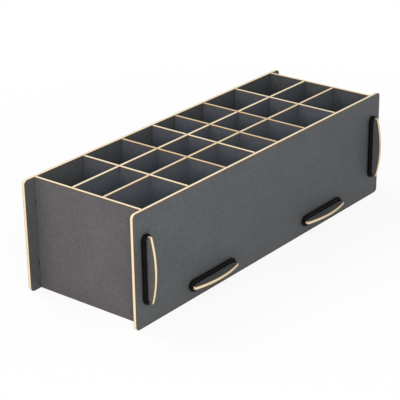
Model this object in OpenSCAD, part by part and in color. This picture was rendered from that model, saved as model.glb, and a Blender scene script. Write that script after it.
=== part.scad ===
// Pen box of plug-together boards. Two long panels and two end panels stand round a raised base.
// Tabs pass through slots in the long panels, and a rubber ring round each tab's neck locks it.
// A loose grid of half-lapped dividers stands on the base and lifts out.
// The origin is on the table, at the middle of the footprint. +X runs along the box, +Y to its back.

/* [Boards] */
// Thickness of every panel and divider
board_t = 3; // [2:0.5:5]

/* [Box] */
// Length of the front and back panels
panel_l = 374; // [330:1:480]
// Height of all the panels
panel_h = 106; // [85:1:150]
// Depth over the outer faces of the front and back panels
box_d = 125; // [100:1:180]
// Corner radius of the front and back panels
corner_r = 4; // [1:0.5:10]
// How far the front and back panels reach past the end panels
overhang = 12.4; // [9:0.1:20]
// Height of the base's underside above the table
base_lift = 12.2; // [8:0.2:20]
// Gap between each end of the base and the end panel
base_gap = 0.2; // [0.1:0.1:1]

/* [Tabs] */
// Length of a tab along its slot
tab_l = 61; // [45:0.5:70]
// How far the middle of a tab's arched head stands out of the panel
tab_crown = 11.4; // [9.4:0.2:16]
// How far the two ends of a tab's head stand out of the panel
tab_shoulder = 7; // [6:0.1:9]
// Depth of the notches that hold the ring, at both ends of a tab
notch_depth = 3.7; // [3:0.1:6]
// Distance from the middle of the box to the middle of a base tab
base_tab_x = 85.4; // [50:0.2:115]
// Gap round a tab in its slot
slot_gap = 0.15; // [0.05:0.05:0.5]
// Diameter of the relief holes at the ends of a slot
relief_d = 5; // [3.6:0.2:6]
// How far a relief hole reaches past the end of its slot
relief_reach = 0.8; // [0.2:0.1:1.2]

/* [Rings] */
// Thickness of the rubber of a ring
ring_d = 4; // [3:0.1:5]
// Gap between a ring and what it seats on
ring_gap = 0.05; // [0.02:0.01:0.1]

/* [Dividers] */
// Clear length of the middle compartments
cell_mid = 30.5; // [20:0.5:40]
// Clear length of the compartments beside the middle ones
cell_second = 40.5; // [25:0.5:50]
// Clear length of the compartments before the end ones
cell_third = 48.5; // [25:0.5:55]
// Clear width of the middle row of compartments
row_mid = 31.8; // [20:0.2:50]
// Gap between a divider's end and the panel that it faces
divider_gap = 0.5; // [0.2:0.1:1.5]
// Gap round a divider in a half lap
lap_gap = 0.15; // [0.05:0.05:0.4]

/* [Hidden] */
$fn = 96;
SIDES = [["front", -1], ["back", 1]];
HANDS = [["left", -1], ["right", 1]];

// Space between the long panels and between the end panels
inner_d = box_d - 2 * board_t;
inner_l = panel_l - 2 * (overhang + board_t);
// Middle plane of an end panel and of the base, and the height of the end panels' tabs
end_x = (inner_l + board_t) / 2;
base_z = base_lift + board_t / 2;
end_tab_z = panel_h / 2;

// The notch fits the ring, and the head's arch runs through its two ends and its middle
notch_w = ring_d + 2 * ring_gap;
neck_l = tab_l - 2 * notch_depth;
head_rise = tab_crown - tab_shoulder;
head_r = (head_rise * head_rise + tab_l * tab_l / 4) / (2 * head_rise);
// Radius of a ring's middle line where it turns round the end of a tab's neck
ring_turn_r = board_t / 2 + ring_gap + ring_d / 2;

// The dividers stand on the base, and each half lap meets at the middle of their height
divider_z = base_lift + board_t;
divider_h = panel_h - divider_z;
lap_z = divider_z + divider_h / 2;
row_y = (row_mid + board_t) / 2;
cross_x1 = (cell_mid + board_t) / 2;
cross_x2 = cross_x1 + cell_second + board_t;
cross_x3 = cross_x2 + cell_third + board_t;
CROSS_X = [-cross_x3, -cross_x2, -cross_x1, cross_x1, cross_x2, cross_x3];

panel_grey = "#5c5e60";
divider_grey = "#45474b";
rubber_black = "#141414";

// A rectangle that stands on the X axis, centred on the Y axis, with its four corners rounded
module rounded_outline(l, h, r) {
    translate([-l / 2, r]) square([l, h - 2 * r]);
    translate([r - l / 2, 0]) square([l - 2 * r, h]);
    for (x = [r - l / 2, l / 2 - r], z = [r, h - r])
        translate([x, z]) circle(r);
}

// A tab that points along +Y, with Y = 0 on the outer face of the panel it passes through
module tab_outline() {
    root = 2 * board_t;
    difference() {
        intersection() {
            translate([-tab_l / 2, -root]) square([tab_l, root + tab_crown]);
            translate([0, tab_crown - head_r]) circle(head_r);
        }
        for (turn = [0, 180])
            translate([0, notch_w / 2]) rotate(turn) notch_outline();
    }
}

// The round-ended notch at the +X end of a tab
module notch_outline() {
    bottom_x = neck_l / 2 + notch_w / 2;
    translate([bottom_x, 0]) circle(d = notch_w);
    translate([bottom_x, -notch_w / 2]) square([notch_depth, notch_w]);
}

// The slot for one tab, along X, with a round relief at each end
module slot_outline() {
    slot_l = tab_l + 2 * slot_gap;
    square([slot_l, board_t + 2 * slot_gap], center = true);
    for (side = [-1, 1])
        translate([side * (slot_l / 2 + relief_reach - relief_d / 2), 0]) circle(d = relief_d);
}

// A board from an outline whose X and Y become the box's X and Z
module long_board(y) {
    translate([0, y, 0]) rotate([90, 0, 0])
        linear_extrude(board_t, center = true) children();
}

// A board from an outline whose X and Y become the box's Y and Z
module end_board(x) {
    translate([x, 0, 0]) rotate([90, 0, 90])
        linear_extrude(board_t, center = true) children();
}

// The front or back panel, with slots for the tabs of the end panels and of the base
module long_panel(side) {
    color(panel_grey) long_board(side * (inner_d + board_t) / 2) difference() {
        rounded_outline(panel_l, panel_h, corner_r);
        for (hand = [-1, 1]) {
            translate([hand * end_x, end_tab_z]) rotate(90) slot_outline();
            translate([hand * base_tab_x, base_z]) slot_outline();
        }
    }
}

// An end panel, with an upright tab at its front and its back
module end_panel(hand) {
    color(panel_grey) end_board(hand * end_x) {
        translate([-inner_d / 2, 0]) square([inner_d, panel_h]);
        for (side = [-1, 1])
            translate([side * box_d / 2, end_tab_z]) rotate(-90 * side) tab_outline();
    }
}

// The raised base, with two level tabs at its front and two at its back
module base_panel() {
    color(panel_grey) translate([0, 0, base_lift]) linear_extrude(board_t) {
        square([inner_l - 2 * base_gap, inner_d], center = true);
        for (side = [-1, 1], hand = [-1, 1])
            translate([hand * base_tab_x, side * box_d / 2]) rotate(90 - 90 * side) tab_outline();
    }
}

// A divider along the box, slotted from the top for every cross divider
module long_divider(side) {
    l = inner_l - 2 * divider_gap;
    color(divider_grey) long_board(side * row_y) difference() {
        translate([-l / 2, divider_z]) square([l, divider_h]);
        for (x = CROSS_X)
            translate([x - board_t / 2 - lap_gap, lap_z - lap_gap])
                square([board_t + 2 * lap_gap, divider_h]);
    }
}

// A divider across the box, slotted from below for both long dividers
module cross_divider(x) {
    l = inner_d - 2 * divider_gap;
    color(divider_grey) end_board(x) difference() {
        translate([-l / 2, divider_z]) square([l, divider_h]);
        for (side = [-1, 1])
            translate([side * row_y - board_t / 2 - lap_gap, lap_z + lap_gap - divider_h])
                square([board_t + 2 * lap_gap, divider_h]);
    }
}

// A rubber ring stretched round a tab's neck, with its long sides along X and the panel at Z = 0
module ring() {
    translate([0, 0, ring_gap + ring_d / 2]) for (side = [-1, 1]) {
        translate([0, side * ring_turn_r, 0]) rotate([0, 90, 0])
            cylinder(d = ring_d, h = neck_l, center = true);
        translate([side * neck_l / 2, 0, 0]) rotate(-90 * side)
            rotate_extrude(angle = 180) translate([ring_turn_r, 0]) circle(d = ring_d);
    }
}

// A ring on the outer face of the front or back panel, at X and Z, turned about the panel's normal
module seated_ring(side, x, z, turn) {
    color(rubber_black) translate([x, side * box_d / 2, z])
        rotate([-90 * side, 0, 0]) rotate(turn) ring();
}

for (side = SIDES) {
    long_panel(side[1]);
    long_divider(side[1]);
}
for (hand = HANDS) {
    end_panel(hand[1]);
}
base_panel();
for (i = [1 : len(CROSS_X)]) {
    cross_divider(CROSS_X[i - 1]);
}
for (side = SIDES, hand = HANDS) {
    end_ring = str(side[0], "_", hand[0], "_end_ring");
    base_ring = str(side[0], "_", hand[0], "_base_ring");
    seated_ring(side[1], hand[1] * end_x, end_tab_z, 90);
    seated_ring(side[1], hand[1] * base_tab_x, base_z, 0);
}
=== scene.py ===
"""A pen box of plug-together boards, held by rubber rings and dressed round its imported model.

The boards are fibreboard with a dark film on both faces, so their cut edges show the pale core.
Lengths are in metres, and the shader nodes work in millimetres."""

import math

import bmesh
import bpy
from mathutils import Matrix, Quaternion, Vector, noise


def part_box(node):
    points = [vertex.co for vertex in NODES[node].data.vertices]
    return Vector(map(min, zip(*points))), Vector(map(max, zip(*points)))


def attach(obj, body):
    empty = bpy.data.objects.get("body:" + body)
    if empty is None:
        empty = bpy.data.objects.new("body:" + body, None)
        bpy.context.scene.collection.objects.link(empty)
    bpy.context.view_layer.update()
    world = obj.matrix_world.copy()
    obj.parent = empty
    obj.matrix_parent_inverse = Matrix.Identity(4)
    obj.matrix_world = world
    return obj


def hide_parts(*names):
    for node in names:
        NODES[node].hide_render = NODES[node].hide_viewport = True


bl_info = {
    "name": "Pen Box",
    "version": (1, 0, 0),
    "blender": (4, 5, 0),
    "location": "View3D > Sidebar > Pen Box",
    "description": "Dresses a plug-together pen box with its films, bare edges and rubber rings",
    "category": "Object",
}

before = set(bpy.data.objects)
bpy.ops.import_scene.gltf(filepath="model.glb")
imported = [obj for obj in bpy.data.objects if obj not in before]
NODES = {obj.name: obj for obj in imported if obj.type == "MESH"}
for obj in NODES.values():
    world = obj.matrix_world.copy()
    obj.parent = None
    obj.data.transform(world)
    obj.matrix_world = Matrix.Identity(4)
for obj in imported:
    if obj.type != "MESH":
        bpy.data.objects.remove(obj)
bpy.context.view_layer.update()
MM_PER_M = 1000.0

LONG_PANELS = ("front_panel", "back_panel")
END_PANELS = ("left_end_panel", "right_end_panel")
BASE_PANEL = "base_panel"
TABBED_PANELS = (*END_PANELS, BASE_PANEL)
LONG_DIVIDERS = ("front_long_divider", "back_long_divider")
CROSS_DIVIDERS = tuple(sorted(n for n in NODES if n.startswith("cross_divider_")))
DIVIDERS = (*LONG_DIVIDERS, *CROSS_DIVIDERS)
# Painted light: the film of these boards is made lighter and warmer, for the warm light from the
# left that falls on them
SIDE_LIT_BOARDS = ("left_end_panel",)
# How light a board's film is against the others of its colour: painted shade, darkening the back
# panel and the long dividers for the shade they lie in
FILM_SHADE_TONE = {"back_panel": 0.95, "front_long_divider": 0.92, "back_long_divider": 0.85}
# How far the cutter browned a board's core
BROWNING = {
    "front_long_divider": 0.6,
    "cross_divider_2": 1.0,
    "cross_divider_4": 1.0,
    "cross_divider_5": 1.0,
}
RINGS = tuple(sorted(n for n in NODES if n.endswith("_ring")))


def from_screen(level):
    """The linear value of one channel, from the standard curve of screens."""
    return level / 12.92 if level <= 0.04045 else ((level + 0.055) / 1.055) ** 2.4


def shade(red, green, blue):
    """The linear colour of a shade that is given as a screen shows it, from 0 to 255."""
    return tuple(from_screen(level / 255) for level in (red, green, blue))


def colour_property(name, description, default):
    return bpy.props.FloatVectorProperty(
        name=name, description=description, default=default, subtype="COLOR", min=0.0, max=1.0
    )


def length_property(name, description, default, precision=5):
    return bpy.props.FloatProperty(
        name=name,
        description=description,
        default=default,
        unit="LENGTH",
        min=0.0,
        precision=precision,
    )


def angle_property(name, description, degrees):
    return bpy.props.FloatProperty(
        name=name, description=description, default=math.radians(degrees), subtype="ANGLE"
    )


def share_property(name, description, default):
    return bpy.props.FloatProperty(
        name=name, description=description, default=default, subtype="FACTOR", min=0.0, max=1.0
    )


def power_property(name, description, default):
    return bpy.props.FloatProperty(
        name=name, description=description, default=default, unit="POWER", min=0.0
    )


class PenBoxBoards(bpy.types.PropertyGroup):
    """Looks of the film-faced boards"""

    film_colour: colour_property("Film", "Colour of the film on most panels", shade(85, 88, 92))
    # Painted light: the left end panel's film is lighter and warmer than the others, for the warm
    # light on that side
    side_lit_film_colour: colour_property(
        "Warm film", "Colour of the film on the left end panel", shade(93, 92, 96)
    )
    # Painted light: the dividers' film is made lighter and bluer than the panels' film, for the
    # cool light inside the cells
    cell_lit_film_colour: colour_property(
        "Cool film", "Colour of the film on the dividers", shade(93, 98, 108)
    )
    core_colour: colour_property(
        "Core", "Colour of the bare core on cut edges", shade(246, 231, 200)
    )
    browned_colour: colour_property(
        "Browned core", "Colour of the core on boards that the cutter browned", shade(222, 199, 162)
    )
    skin_colour: colour_property(
        "Pressed skin", "Colour of the denser core just under the film", shade(138, 88, 38)
    )
    # Painted shade: a near-black colour for the slots and for the tabs inside them, standing in for
    # the shade there
    slot_shade_colour: colour_property(
        "Slot", "Colour of the scorched slots and of the tabs inside them", shade(30, 24, 20)
    )
    scorch_colour: colour_property(
        "Scorch", "Colour of the cutter's scorch on the film beside an edge", shade(104, 73, 41)
    )
    scorch_reach: length_property(
        "Scorch reach", "How far the scorch reaches over the film", 0.0015
    )
    film_depth: length_property("Film depth", "How far the film reaches down a cut edge", 0.0001)
    skin_depth: length_property("Skin depth", "How deep the dense skin of the core is", 0.00045)
    ease: length_property("Ease", "How far the cut edges are rounded over", 0.00022)
    film_roughness: share_property("Film roughness", "Roughness of the film", 0.56)
    core_roughness: share_property("Core roughness", "Roughness of the cut edges", 0.86)
    gloss: share_property("Gloss", "Specular level of the boards", 0.22)


class PenBoxRings(bpy.types.PropertyGroup):
    """Looks of the rubber rings"""

    rubber_colour: colour_property("Rubber", "Colour of the rubber", shade(9, 9, 10))
    bloom_colour: colour_property(
        "Bloom", "Colour of the dry bloom on the rubber", shade(34, 34, 35)
    )
    swell: length_property("Swell", "How far the rubber swells where it is free", 0.00012)
    seat_gap: length_property("Seat gap", "Gap between the rubber and what it presses on", 0.00002)
    seam: length_property("Seam", "Height of the moulding seam", 0.00007)
    roughness: share_property("Roughness", "Roughness of the rubber", 0.5)
    gloss: share_property("Gloss", "Specular level of the rubber", 0.07)


class PenBoxStage(bpy.types.PropertyGroup):
    """Camera, floor and lights"""

    azimuth: angle_property("Azimuth", "Side that the camera looks from", -51.291)
    elevation: angle_property("Elevation", "Height of the camera above the horizon", 23.326)
    roll: angle_property("Roll", "Tilt of the camera about its line of sight", -0.932)
    view_angle: angle_property("View angle", "Angle that the camera takes in", 15.558)
    distance: length_property("Distance", "Distance from the camera to its aim", 1.39, 3)
    aim: bpy.props.FloatVectorProperty(
        name="Aim",
        description="Point that the camera looks at",
        default=(0.0021, 0.0191, 0.0333),
        subtype="TRANSLATION",
        unit="LENGTH",
    )
    floor_colour: colour_property("Floor", "Colour of the floor", shade(244, 244, 243))
    floor_white: share_property("Floor white", "How far the floor is lifted to plain white", 0.9)
    ambient: share_property("Ambient", "Strength of the even light from all round", 0.48)
    ambient_tint: colour_property("Ambient tint", "Tint of the even light", (0.99, 1.0, 0.96))
    sky_power: power_property("Sky light", "Power of the soft light above the back", 11.0)
    sky_tint: colour_property("Sky tint", "Tint of the sky light", (0.9, 0.95, 1.0))
    key_power: power_property("Key light", "Power of the soft light near the front left", 3.7)
    key_tint: colour_property("Key tint", "Tint of the key light", (1.0, 0.98, 0.9))
    side_power: power_property("Side light", "Power of the warm light at the left", 2.4)
    side_tint: colour_property("Side tint", "Tint of the side light", (1.0, 0.62, 0.55))


class Wire:
    """An output socket that takes part in sums. Each operation adds its Math node."""

    def __init__(self, graph, socket):
        self.graph = graph
        self.socket = socket

    def out(self, name):
        """Another output of the same node."""
        return Wire(self.graph, self.socket.node.outputs[name])

    def __add__(self, other):
        return self.graph.math("ADD", self, other)

    def __sub__(self, other):
        return self.graph.math("SUBTRACT", self, other)

    def __rsub__(self, other):
        return self.graph.math("SUBTRACT", other, self)

    def __mul__(self, other):
        return self.graph.math("MULTIPLY", self, other)

    def __abs__(self):
        return self.graph.math("ABSOLUTE", self)

    __radd__ = __add__
    __rmul__ = __mul__


class Graph:
    """Adds the nodes of one material or world."""

    def __init__(self, owner):
        owner.use_nodes = True
        self.tree = owner.node_tree
        self.tree.nodes.clear()

    def add(self, kind, settings=None, inputs=None):
        """A node: its settings come first, then the value or the link of each socket."""
        node = self.tree.nodes.new(kind)
        for name, value in (settings or {}).items():
            setattr(node, name, value)
        for key, value in (inputs or {}).items():
            socket = self.open_socket(node.inputs, key)
            if isinstance(value, Wire):
                self.tree.links.new(value.socket, socket)
            else:
                socket.default_value = value
        shown = [s for s in node.outputs if s.enabled]
        return Wire(self, shown[0]) if shown else None

    @staticmethod
    def open_socket(sockets, key):
        """A socket by its number, or the one in use that has this name."""
        if isinstance(key, int):
            return sockets[key]
        return next(s for s in sockets if s.enabled and s.name == key)

    def math(self, operation, *values):
        return self.add("ShaderNodeMath", {"operation": operation}, dict(enumerate(values)))

    def most(self, *values):
        result = values[0]
        for value in values[1:]:
            result = self.math("MAXIMUM", result, value)
        return result

    def least(self, first, second):
        return self.math("MINIMUM", first, second)

    def ramp(self, value, low, high):
        """A smooth climb from 0 at low to 1 at high."""
        return self.add(
            "ShaderNodeMapRange",
            {"interpolation_type": "SMOOTHSTEP"},
            {"Value": value, "From Min": low, "From Max": high},
        )

    def vector(self, operation, first, second):
        key = "Scale" if operation == "SCALE" else 1
        return self.add("ShaderNodeVectorMath", {"operation": operation}, {0: first, key: second})

    def mix(self, share, first, second):
        """A colour between two others."""
        return self.add(
            "ShaderNodeMix",
            {"data_type": "RGBA"},
            {"Factor": share, "A": opaque(first), "B": opaque(second)},
        )

    def noise(self, place, scale, detail, roughness):
        return self.add(
            "ShaderNodeTexNoise",
            None,
            {"Vector": place, "Scale": scale, "Detail": detail, "Roughness": roughness},
        )

    def place_in_mm(self):
        """The place on the piece in millimetres."""
        return self.vector("SCALE", self.add("ShaderNodeTexCoord").out("Object"), MM_PER_M)

    def finish(self, colour, roughness, gloss, height, relief):
        """Ends a material with its shader. Its relief comes from a height in millimetres."""
        normal = self.add(
            "ShaderNodeBump",
            None,
            {"Strength": relief, "Distance": 1 / MM_PER_M, "Height": height},
        )
        surface = self.add(
            "ShaderNodeBsdfPrincipled",
            None,
            {
                "Base Color": colour,
                "Roughness": roughness,
                "Specular IOR Level": gloss,
                "Normal": normal,
            },
        )
        self.add("ShaderNodeOutputMaterial", None, {"Surface": surface})


def opaque(colour):
    """A colour that a socket takes: a link as it is, and three numbers with a fourth."""
    return colour if isinstance(colour, Wire) else (*colour, 1.0)


def new_material(name):
    """A new material, and the graph that its nodes go into."""
    material = bpy.data.materials.new(name)
    return material, Graph(material)


def sway(start, *parts):
    """A value that sways about its start. Each part is a pattern and the width of its sway."""
    for pattern, width in parts:
        start = start + (pattern - 0.5) * width
    return start


# Steps between the patterns of one piece and the next, in millimetres, and where each starts again
PATTERN_STEPS = ((431.0, 1009.0), (277.0, 883.0), (613.0, 947.0))
# Patterns of a board: features to a millimetre, detail and roughness
CLOUDS = (0.02, 3.0, 0.7)
MOTTLE = (0.3, 2.0, 0.5)
FIBRES = (0.45, 4.0, 0.6)
FILM_GRAIN = (3.2, 2.0, 0.6)
STRANDS = (0.55, 4.0, 0.62)
CUTTER_MARKS = (1.7, 2.0, 0.5)
# Through the board, strands are pressed this much finer and the cutter's marks are drawn out
STRAND_PRESS = 5.0
MARK_STRETCH = 0.05
# Heights of the patterns in millimetres, and the strength of the relief that they give
GRAIN_HEIGHT = 0.022
FIBRE_HEIGHT = 0.008
STRAND_HEIGHT = 0.05
MARK_HEIGHT = 0.03
BOARD_RELIEF = 0.7
# How much of each colour shows at most, and where a strand counts as a fleck
SCORCH_SHARE = 0.88
FLECK_SHARE = 0.4
SKIN_SHARE = 0.9
FLECK_SPAN = (0.56, 0.72)
# In millimetres: how far the film's edge strays, and the soft ends of the film, the painted slot
# shade and the scorch
FRAY = 0.1
FILM_BLEND = 0.03
SLOT_SHADE_BLEND = 0.2
FACE_BLEND = 0.1
# How far in from a long panel's outline its pale rim ends and the painted shade of its slots
# begins, in millimetres
RIM_END = (3.0, 5.0)
# Radius of the arch that the head of a tab is cut to, in millimetres
HEAD_RADIUS = 107.9


def pattern_shift(node):
    """A shift of a piece's pattern that comes from its place in the list of nodes."""
    order = sorted(NODES).index(node)
    return tuple(order * step % restart for step, restart in PATTERN_STEPS)


def stretched(across, factor):
    """Factors that change a pattern only through a board, along its thin axis."""
    return tuple(factor if axis == across else 1.0 for axis in range(3))


def scorch_mask(graph, node, split, gaps, stray, reach):
    """1 on the film right beside a cut edge, and 0 where the scorch ends."""

    def beside(gap):
        return 1 - graph.ramp(gap + stray, 0.0, reach)

    if node in LONG_PANELS:
        return beside(graph.least(*gaps.values()))
    if node in DIVIDERS:
        return beside(gaps["Z"])
    # The head of a tab falls away from its middle as a wide arch
    axis, ring = (0, "back_right_base_ring") if node == BASE_PANEL else (2, "back_right_end_ring")
    ring_low, ring_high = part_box(ring)
    along = abs(split.out("XYZ"[axis])) - (ring_low + ring_high)[axis] * MM_PER_M / 2
    head = gaps["Y"] - along * along * (0.5 / HEAD_RADIUS)
    panel_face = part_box("back_panel")[1].y * MM_PER_M
    outside = graph.ramp(abs(split.out("Y")), panel_face, panel_face + FACE_BLEND)
    mask = beside(head) * outside
    if node in END_PANELS:
        mask = graph.most(mask, beside(gaps["Z"]))
    return mask


def slot_shade_mask(graph, split):
    """1 on the part of a tab that is inside its slot, where the slot's shade is painted."""
    slot_low, slot_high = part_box("back_panel")
    aside = abs(split.out("Y")) - slot_low.y * MM_PER_M
    slot_depth = (slot_high.y - slot_low.y) * MM_PER_M
    past_mouth = graph.ramp(aside, 0.0, SLOT_SHADE_BLEND)
    return past_mouth * (1 - graph.ramp(aside, slot_depth - SLOT_SHADE_BLEND, slot_depth))


def board_material(node, boards):
    """Film on both faces of a board, and the layered fibres of its core on every cut edge."""
    low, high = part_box(node)
    size = (high - low) * MM_PER_M
    middle = (high + low) * MM_PER_M / 2
    across = min(range(3), key=lambda axis: size[axis])
    material, graph = new_material(f"{node}_board")
    place = graph.place_in_mm()
    split = graph.add("ShaderNodeSeparateXYZ", None, {"Vector": place})
    # Depth below the nearer face, and the gap to the outline along both other axes
    depth = size[across] / 2 - abs(split.out("XYZ"[across]) - middle[across])
    gaps = {
        name: size[axis] / 2 - abs(split.out(name) - middle[axis])
        for axis, name in enumerate("XYZ")
        if axis != across
    }

    own = graph.vector("ADD", place, pattern_shift(node))
    layered = graph.vector("MULTIPLY", own, stretched(across, STRAND_PRESS))
    upright = graph.vector("MULTIPLY", own, stretched(across, MARK_STRETCH))
    clouds = graph.noise(own, *CLOUDS)
    mottle = graph.noise(own, *MOTTLE)
    fibres = graph.noise(own, *FIBRES)
    grain = graph.noise(own, *FILM_GRAIN)
    strands = graph.noise(layered, *STRANDS)
    marks = graph.noise(upright, *CUTTER_MARKS)

    fray = (grain - 0.5) * FRAY
    film_depth = boards.film_depth * MM_PER_M
    skin_depth = boards.skin_depth * MM_PER_M
    film = 1 - graph.ramp(depth + fray, film_depth - FILM_BLEND, film_depth + FILM_BLEND)
    skin = 1 - graph.ramp(depth + fray * 2, film_depth, film_depth + skin_depth)

    # Painted light: the left end panel and the dividers get lit copies of the one film colour
    film_shade = boards.film_colour
    if node in SIDE_LIT_BOARDS:
        film_shade = boards.side_lit_film_colour
    # Painted light: the dividers take the lighter, bluer copy of the film
    elif node in DIVIDERS:
        film_shade = boards.cell_lit_film_colour
    film_tone = sway(1, (clouds, 0.34), (mottle, 0.46), (fibres, 0.36), (grain, 0.45))
    # Painted shade: some boards' film is darkened by their listed tone
    film_colour = graph.vector("SCALE", film_shade, film_tone * FILM_SHADE_TONE.get(node, 1.0))
    reach = boards.scorch_reach * MM_PER_M
    scorch = scorch_mask(graph, node, split, gaps, (mottle - 0.5) * reach, reach)
    film_colour = graph.mix(scorch * SCORCH_SHARE, film_colour, boards.scorch_colour)

    core_shade = Vector(boards.core_colour).lerp(boards.browned_colour, BROWNING.get(node, 0.0))
    core_tone = sway(1, (strands, 0.3), (clouds, 0.1))
    fleck = graph.ramp(strands, *FLECK_SPAN)
    core_colour = graph.mix(fleck * FLECK_SHARE, core_shade, boards.skin_colour)
    core_colour = graph.mix(skin * SKIN_SHARE, core_colour, boards.skin_colour)
    core_colour = graph.vector("SCALE", core_colour, core_tone)
    # Painted shade: the walls of a long panel's slots and holes take the dark slot shade
    if node in LONG_PANELS:
        in_slot_shade = graph.ramp(graph.least(*gaps.values()), *RIM_END)
        core_colour = graph.mix(in_slot_shade, core_colour, boards.slot_shade_colour)

    colour = graph.mix(film, core_colour, film_colour)
    # Painted shade: the part of a tab inside its slot takes the dark slot shade, film and core
    # alike
    if node in TABBED_PANELS:
        colour = graph.mix(slot_shade_mask(graph, split), colour, boards.slot_shade_colour)
    film_roughness = sway(boards.film_roughness, (fibres, 0.12), (clouds, 0.1))
    core_roughness = sway(boards.core_roughness, (strands, 0.16))
    roughness = core_roughness + (film_roughness - core_roughness) * film
    film_height = grain * GRAIN_HEIGHT + fibres * FIBRE_HEIGHT
    core_height = strands * STRAND_HEIGHT + marks * MARK_HEIGHT
    height = core_height + (film_height - core_height) * film
    graph.finish(colour, roughness, boards.gloss, height, BOARD_RELIEF)
    return material


# Points this near are joined. In radians: faces this flat are joined, and edges this sharp eased
WELD_LIMIT = 1e-6
FLAT_LIMIT = 0.01
SHARP_LIMIT = 0.6
EASE_STEPS = 2


def dress_boards(context, nodes):
    """Eases the edges of these boards and gives each its film and its bare edges."""
    boards = context.scene.pen_box_boards
    for node in nodes:
        board = NODES[node]
        join = board.modifiers.new("join_facets", "WELD")
        join.merge_threshold = WELD_LIMIT
        flat = board.modifiers.new("flat_faces", "DECIMATE")
        flat.decimate_type = "DISSOLVE"
        flat.angle_limit = FLAT_LIMIT
        ease = board.modifiers.new("eased_edges", "BEVEL")
        ease.width = boards.ease
        ease.segments = EASE_STEPS
        ease.limit_method = "ANGLE"
        ease.angle_limit = SHARP_LIMIT
        board.material_slots[0].material = board_material(node, boards)


# Steps along each straight run of a ring, round each of its turns and round its section
RUN_STEPS = 30
TURN_STEPS = 22
SECTION_STEPS = 48
# The moulding seam: its place and its drift round the section, and half its width (radians)
SEAM_ANGLE = 0.9
SEAM_DRIFT = 0.5
SEAM_SPREAD = 0.16
# How far the seam and the waves of the rubber are turned from one ring to the next
RING_STEP = 0.7
# Waves of the rubber: how close they are along the ring and round it, and their height
LAP_WAVES = 3
SECTION_WAVES = 0.3
WAVE_HEIGHT = 0.00003


def ring_path(half_run, turn_radius):
    """Stations round a stretched ring: place along and across, way out and share of the turn."""
    stations = []
    for side in (1, -1):
        for step in range(RUN_STEPS):
            along = side * half_run * (2 * step / RUN_STEPS - 1)
            stations.append((along, side * turn_radius, 0.0, side, 0.0))
        for step in range(TURN_STEPS):
            angle = math.pi / 2 - math.pi * step / TURN_STEPS
            ahead = side * math.cos(angle)
            aside = side * math.sin(angle)
            stations.append(
                (
                    side * half_run + turn_radius * ahead,
                    turn_radius * aside,
                    ahead,
                    aside,
                    math.sin(math.pi * step / TURN_STEPS),
                )
            )
    return stations


def make_ring(node, rings):
    """A rubber ring round a tab's neck, pressed flat by the tab, by its panel and by its head."""
    low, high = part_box(node)
    size = high - low
    middle = (low + high) / 2
    length_axis = 0 if size.x > size.z else 2
    thickness = size.y
    width = size[2 - length_axis]
    turn_radius = (width - thickness) / 2
    half_run = (size[length_axis] - width) / 2
    out = math.copysign(1.0, middle.y)
    base_low, base_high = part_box(BASE_PANEL)
    panel_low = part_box(LONG_PANELS[0])[0]
    tab_seat = turn_radius - (base_high.z - base_low.z) / 2 - rings.seat_gap
    panel_seat = abs(middle.y) - abs(panel_low.y) - rings.seat_gap
    start = sorted(NODES).index(node) * RING_STEP

    mesh_points = bmesh.new()
    loops = []
    stations = ring_path(half_run, turn_radius)
    for index, (along, aside, ahead, outward, turn) in enumerate(stations):
        loop = []
        lap = 2 * math.pi * index / len(stations)
        seam_angle = SEAM_ANGLE + SEAM_DRIFT * math.sin(lap + start)
        wave_place = (math.cos(lap) * LAP_WAVES + start, math.sin(lap) * LAP_WAVES)
        for step in range(SECTION_STEPS):
            angle = 2 * math.pi * step / SECTION_STEPS
            apart = math.remainder(angle - seam_angle, 2 * math.pi) / SEAM_SPREAD
            wave = noise.noise((*wave_place, angle * SECTION_WAVES))
            radius = thickness / 2 + rings.swell + rings.seam * math.exp(-apart * apart)
            radius += wave * WAVE_HEIGHT
            # The tab and the panel press the rubber flat, and so does the head above the turns
            reach = max(radius * math.cos(angle), -tab_seat)
            rise = max(radius * math.sin(angle), -panel_seat)
            rise = min(rise, panel_seat + (1 - turn) * rings.swell * 2)
            point = Vector((0.0, middle.y + out * rise, 0.0))
            point[length_axis] = middle[length_axis] + along + ahead * reach
            point[2 - length_axis] = middle[2 - length_axis] + aside + outward * reach
            loop.append(mesh_points.verts.new(point))
        loops.append(loop)
    for here, there in zip(loops, loops[1:] + loops[:1]):
        for step in range(SECTION_STEPS):
            after = (step + 1) % SECTION_STEPS
            mesh_points.faces.new((here[step], there[step], there[after], here[after]))
    bmesh.ops.recalc_face_normals(mesh_points, faces=mesh_points.faces)
    for face in mesh_points.faces:
        face.smooth = True
    mesh = bpy.data.meshes.new(f"{node}_rubber")
    mesh_points.to_mesh(mesh)
    mesh_points.free()
    return bpy.data.objects.new(f"{node}_rubber", mesh)


# Patterns of the rubber: features to a millimetre, detail and roughness
RUBBER_PATCHES = (0.22, 3.0, 0.6)
RUBBER_GRAIN = (4.0, 2.0, 0.6)
# Where a patch counts as bloom, how far its edge strays, how much shows and how rough it is
BLOOM_SPAN = (0.45, 0.8)
BLOOM_FRAY = 0.3
BLOOM_SHARE = 0.35
BLOOM_DRYNESS = 0.18
# Height of both patterns in millimetres, and the strength of the relief that they give
RUBBER_HEIGHT = 0.02
RUBBER_RELIEF = 0.6


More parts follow.
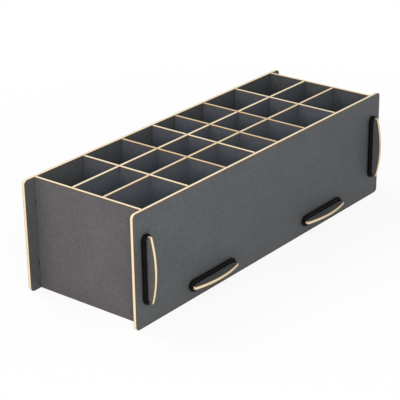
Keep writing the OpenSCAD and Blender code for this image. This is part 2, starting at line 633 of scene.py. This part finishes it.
def rubber_material(rings):
    """Black rubber with a fine moulded grain and a faint dry bloom."""
    material, graph = new_material("ring_rubber")
    place = graph.place_in_mm()
    patches = graph.noise(place, *RUBBER_PATCHES)
    grain = graph.noise(place, *RUBBER_GRAIN)
    bloom = graph.ramp(sway(patches, (grain, BLOOM_FRAY)), *BLOOM_SPAN)
    colour = graph.mix(bloom * BLOOM_SHARE, rings.rubber_colour, rings.bloom_colour)
    roughness = sway(rings.roughness + bloom * BLOOM_DRYNESS, (grain, 0.1))
    height = grain * RUBBER_HEIGHT + patches * RUBBER_HEIGHT
    graph.finish(colour, roughness, rings.gloss, height, RUBBER_RELIEF)
    return material


class PENBOX_OT_long_panels(bpy.types.Operator):
    """Finish the front and back panels"""

    bl_idname = "pen_box.long_panels"
    bl_label = "Front and Back Panels"

    def execute(self, context):
        dress_boards(context, LONG_PANELS)
        return {"FINISHED"}


class PENBOX_OT_end_panels(bpy.types.Operator):
    """Finish the two end panels and their upright tabs"""

    bl_idname = "pen_box.end_panels"
    bl_label = "End Panels"

    def execute(self, context):
        dress_boards(context, END_PANELS)
        return {"FINISHED"}


class PENBOX_OT_base_panel(bpy.types.Operator):
    """Finish the raised base and its level tabs"""

    bl_idname = "pen_box.base_panel"
    bl_label = "Base Panel"

    def execute(self, context):
        dress_boards(context, (BASE_PANEL,))
        return {"FINISHED"}


class PENBOX_OT_long_dividers(bpy.types.Operator):
    """Finish the two dividers that run along the box"""

    bl_idname = "pen_box.long_dividers"
    bl_label = "Long Dividers"

    def execute(self, context):
        dress_boards(context, LONG_DIVIDERS)
        return {"FINISHED"}


class PENBOX_OT_cross_dividers(bpy.types.Operator):
    """Finish the six dividers that run across the box"""

    bl_idname = "pen_box.cross_dividers"
    bl_label = "Cross Dividers"

    def execute(self, context):
        dress_boards(context, CROSS_DIVIDERS)
        return {"FINISHED"}


class PENBOX_OT_rubber_rings(bpy.types.Operator):
    """Put a rubber ring round the neck of every tab"""

    bl_idname = "pen_box.rubber_rings"
    bl_label = "Rubber Rings"

    def execute(self, context):
        rings = context.scene.pen_box_rings
        rubber = rubber_material(rings)
        for node in RINGS:
            ring = make_ring(node, rings)
            ring.data.materials.append(rubber)
            context.scene.collection.objects.link(ring)
            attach(ring, "box")
            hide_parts(node)
        return {"FINISHED"}


FLOOR_RADIUS = 6.0
FLOOR_SIDES = 96
FLOOR_DROP = 0.00005
# Distances from the middle of the box, in millimetres, between which the floor fades to white
SHADOW_REACH = (230.0, 620.0)
WHITE = (1.0, 1.0, 1.0, 1.0)
LIGHT_AIM = Vector((0.0, 0.0, 0.05))
# Place and width of each light
SKY_LIGHT = ((-0.15, 0.9, 1.3), 0.7)
KEY_LIGHT = ((-0.65, -0.6, 0.5), 0.5)
SIDE_LIGHT = ((-1.6, -0.25, 0.42), 0.35)
NEAR_CLIP = 0.05
FAR_CLIP = 50.0


def seen_directly(graph):
    """1 for rays that come straight from the camera or by way of a shine or clear surface."""
    path = graph.add("ShaderNodeLightPath")
    return graph.most(
        path.out("Is Camera Ray"), path.out("Is Glossy Ray"), path.out("Is Transmission Ray")
    )


def make_floor(context, stage):
    """A plain pale floor that keeps the shadow near the box and fades to white further out."""
    outline = bmesh.new()
    bmesh.ops.create_circle(outline, cap_ends=True, segments=FLOOR_SIDES, radius=FLOOR_RADIUS)
    mesh = bpy.data.meshes.new("floor")
    outline.to_mesh(mesh)
    outline.free()
    floor = bpy.data.objects.new("floor", mesh)
    floor.location.z = -FLOOR_DROP
    context.scene.collection.objects.link(floor)
    material, graph = new_material("pale_floor")
    reach = graph.add(
        "ShaderNodeVectorMath", {"operation": "LENGTH"}, {0: graph.place_in_mm()}
    ).out("Value")
    white = stage.floor_white + graph.ramp(reach, *SHADOW_REACH) * (1 - stage.floor_white)
    plain = graph.add("ShaderNodeBsdfDiffuse", None, {"Color": opaque(stage.floor_colour)})
    bright = graph.add("ShaderNodeEmission", None, {"Color": WHITE, "Strength": 1.0})
    surface = graph.add(
        "ShaderNodeMixShader", None, {0: white * seen_directly(graph), 1: plain, 2: bright}
    )
    graph.add("ShaderNodeOutputMaterial", None, {"Surface": surface})
    mesh.materials.append(material)


def make_world(context, stage):
    """Even light from all round, and plain white where it is seen."""
    world = bpy.data.worlds.new("studio")
    context.scene.world = world
    graph = Graph(world)
    even = graph.add(
        "ShaderNodeBackground",
        None,
        {"Color": opaque(stage.ambient_tint), "Strength": stage.ambient},
    )
    white = graph.add("ShaderNodeBackground", None, {"Color": WHITE, "Strength": 1.0})
    surface = graph.add("ShaderNodeMixShader", None, {0: seen_directly(graph), 1: even, 2: white})
    graph.add("ShaderNodeOutputWorld", None, {"Surface": surface})


def make_light(context, name, place, size, power, tint):
    """A round soft light that faces the middle of the box."""
    light = bpy.data.lights.new(name, "AREA")
    light.shape = "DISK"
    light.size = size
    light.energy = power
    light.color = tint
    lamp = bpy.data.objects.new(name, light)
    lamp.location = place
    lamp.rotation_mode = "QUATERNION"
    lamp.rotation_quaternion = (LIGHT_AIM - Vector(place)).to_track_quat("-Z", "Y")
    context.scene.collection.objects.link(lamp)


def make_lights(context, stage):
    """A sky light above the back, a key light near the front left and a warm one at the side."""
    make_light(context, "sky_light", *SKY_LIGHT, stage.sky_power, stage.sky_tint)
    make_light(context, "key_light", *KEY_LIGHT, stage.key_power, stage.key_tint)
    make_light(context, "side_light", *SIDE_LIGHT, stage.side_power, stage.side_tint)


def make_camera(context, stage):
    """The camera at the side, height and tilt that the settings give."""
    level = math.cos(stage.elevation)
    back = Vector(
        (
            math.sin(stage.azimuth) * level,
            -math.cos(stage.azimuth) * level,
            math.sin(stage.elevation),
        )
    )
    data = bpy.data.cameras.new("camera")
    data.angle = stage.view_angle
    data.clip_start = NEAR_CLIP
    data.clip_end = FAR_CLIP
    camera = bpy.data.objects.new("camera", data)
    camera.location = Vector(stage.aim) + back * stage.distance
    camera.rotation_mode = "QUATERNION"
    upright = (-back).to_track_quat("-Z", "Y")
    camera.rotation_quaternion = upright @ Quaternion((0, 0, 1), stage.roll)
    context.scene.collection.objects.link(camera)
    context.scene.camera = camera


class PENBOX_OT_stage(bpy.types.Operator):
    """Set up the floor, the lights and the camera"""

    bl_idname = "pen_box.stage"
    bl_label = "Stage"

    def execute(self, context):
        stage = context.scene.pen_box_stage
        context.scene.view_settings.view_transform = "Standard"
        make_floor(context, stage)
        make_world(context, stage)
        make_lights(context, stage)
        make_camera(context, stage)
        return {"FINISHED"}


STEPS = (
    PENBOX_OT_long_panels,
    PENBOX_OT_end_panels,
    PENBOX_OT_base_panel,
    PENBOX_OT_long_dividers,
    PENBOX_OT_cross_dividers,
    PENBOX_OT_rubber_rings,
    PENBOX_OT_stage,
)
GROUPS = {
    "pen_box_boards": PenBoxBoards,
    "pen_box_rings": PenBoxRings,
    "pen_box_stage": PenBoxStage,
}


class PENBOX_PT_sidebar(bpy.types.Panel):
    """Lists the settings of the pen box and the steps that make it"""

    bl_idname = "PENBOX_PT_sidebar"
    bl_label = "Pen Box"
    bl_space_type = "VIEW_3D"
    bl_region_type = "UI"
    bl_category = "Pen Box"

    def draw(self, context):
        for name, group in GROUPS.items():
            column = self.layout.column(align=True)
            for setting in group.__annotations__:
                column.prop(getattr(context.scene, name), setting)
        for step in STEPS:
            self.layout.operator(step.bl_idname)


def register():
    for group in GROUPS.values():
        bpy.utils.register_class(group)
    for name, group in GROUPS.items():
        setattr(bpy.types.Scene, name, bpy.props.PointerProperty(type=group))
    for step in STEPS:
        bpy.utils.register_class(step)
    bpy.utils.register_class(PENBOX_PT_sidebar)


def unregister():
    bpy.utils.unregister_class(PENBOX_PT_sidebar)
    for step in reversed(STEPS):
        bpy.utils.unregister_class(step)
    for name in GROUPS:
        delattr(bpy.types.Scene, name)
    for group in reversed(GROUPS.values()):
        bpy.utils.unregister_class(group)


def main():
    register()
    bpy.ops.pen_box.long_panels()
    bpy.ops.pen_box.end_panels()
    bpy.ops.pen_box.base_panel()
    bpy.ops.pen_box.long_dividers()
    bpy.ops.pen_box.cross_dividers()
    bpy.ops.pen_box.rubber_rings()
    bpy.ops.pen_box.stage()


if __name__ == "__main__":
    main()
